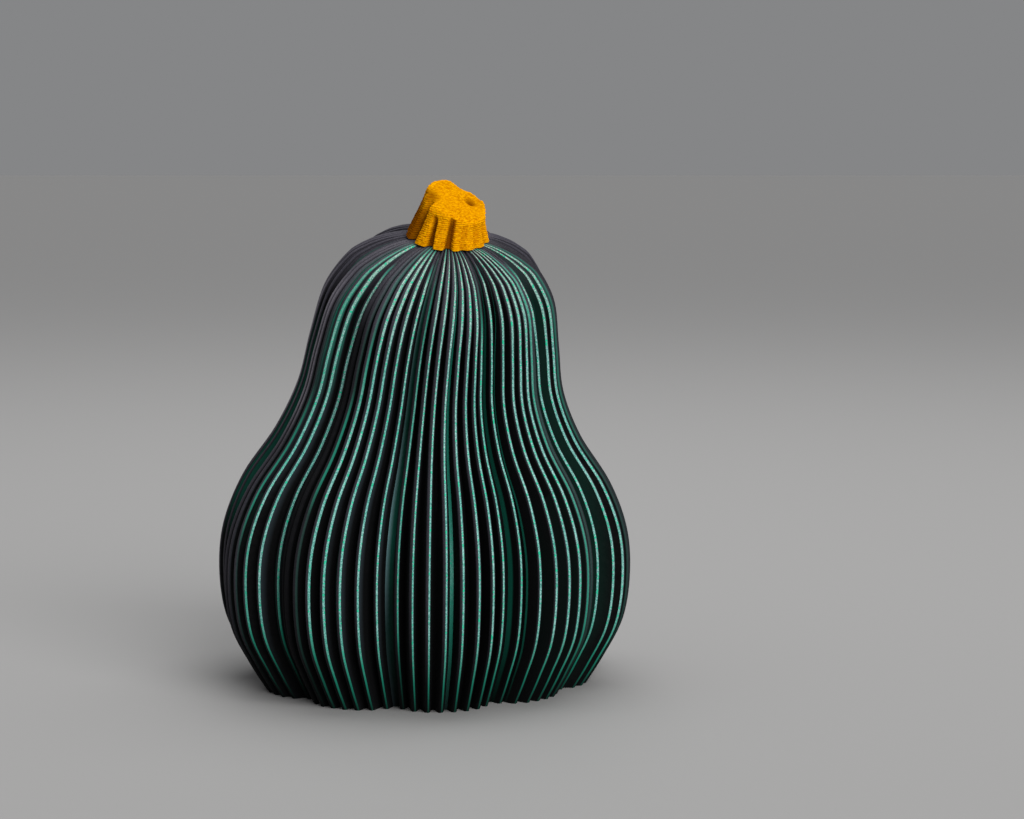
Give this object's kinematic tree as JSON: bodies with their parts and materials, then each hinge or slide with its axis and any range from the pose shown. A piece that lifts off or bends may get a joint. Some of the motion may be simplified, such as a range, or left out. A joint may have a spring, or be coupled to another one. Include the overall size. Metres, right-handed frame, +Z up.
{
  "type": "printed pumpkin ornament",
  "caption": "Pear-shaped 3D-printed pumpkin ornament with lobes of thin upright fins and a separate fluted stem whose peg sits in a socket in its crown; stands on its flat underside.",
  "frame": {"origin": "middle of the flat underside, under the straight part of the body's axis", "axes": "+Z up, -Y the front towards which the crown tips, +X to the right seen from the front"},
  "size_m": [0.1226, 0.1224, 0.1484],
  "materials": {
    "silk_filament": "satin silk print, black with a green side",
    "mustard_filament": "rough fuzzy print"
  },
  "bodies": {
    "root": {"ribbed_body": "silk_filament", "stem": "mustard_filament"}
  },
  "joints": []
}
